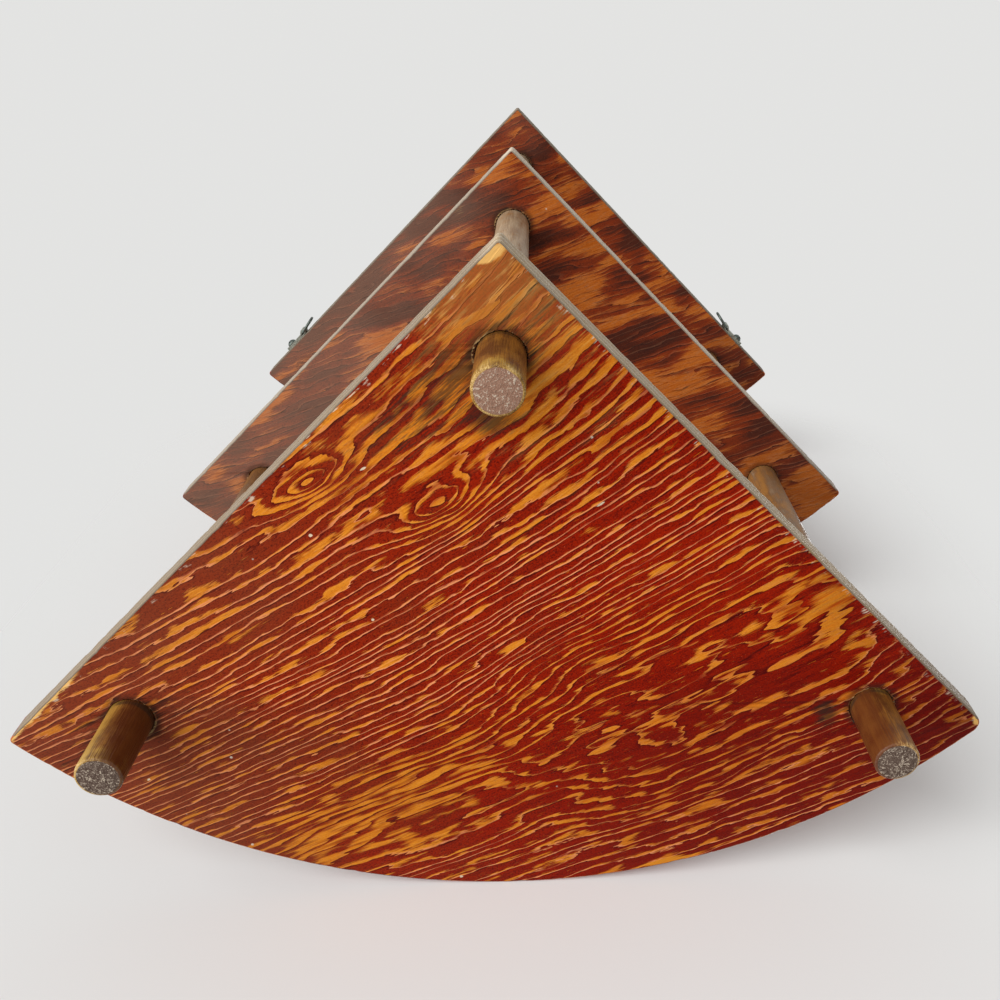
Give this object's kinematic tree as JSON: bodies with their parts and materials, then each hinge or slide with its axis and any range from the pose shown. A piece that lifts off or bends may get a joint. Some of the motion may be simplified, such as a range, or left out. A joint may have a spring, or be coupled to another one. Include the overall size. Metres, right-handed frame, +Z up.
{
  "type": "corner shelf",
  "caption": "Corner shelf of quarter-round stained plywood boards on dowel posts whose lower ends are the feet, with a D-ring hanger on each wall edge of the top board.",
  "frame": {"origin": "on the floor, in the middle of the shelf's width and depth", "axes": "+Z up, +Y towards the back corner where the two walls meet, +X to the right of someone in front of the curved fronts"},
  "size_m": [0.3576, 0.2534, 0.4572],
  "materials": {
    "stained_plywood": "dark red-brown stain under worn satin varnish",
    "varnished_dowel": "amber varnish, bare sawn ends",
    "strap_metal": "dull aged plating",
    "ring_metal": "dark aged plating",
    "screw_metal": "dark aged steel"
  },
  "bodies": {
    "shelf": {"bottom_shelf": "stained_plywood", "middle_shelf": "stained_plywood", "top_shelf": "stained_plywood", "corner_post": "varnished_dowel", "left_post": "varnished_dowel", "right_post": "varnished_dowel", "left_hanger_strap": "strap_metal", "left_hanger_screw": "screw_metal", "right_hanger_strap": "strap_metal", "right_hanger_screw": "screw_metal"},
    "left_ring": {"left_hanger_ring": "ring_metal"},
    "right_ring": {"right_hanger_ring": "ring_metal"}
  },
  "joints": [
    {"name": "left_ring_swing", "type": "hinge", "parent": "shelf", "child": "left_ring", "pos_m": [-0.14771, -0.01772, 0.45085], "axis": [0, 0, 1], "range_deg": [-13, 152]},
    {"name": "right_ring_swing", "type": "hinge", "parent": "shelf", "child": "right_ring", "pos_m": [0.15266, -0.02267, 0.45085], "axis": [0, 0, -1], "range_deg": [-13, 152]}
  ]
}
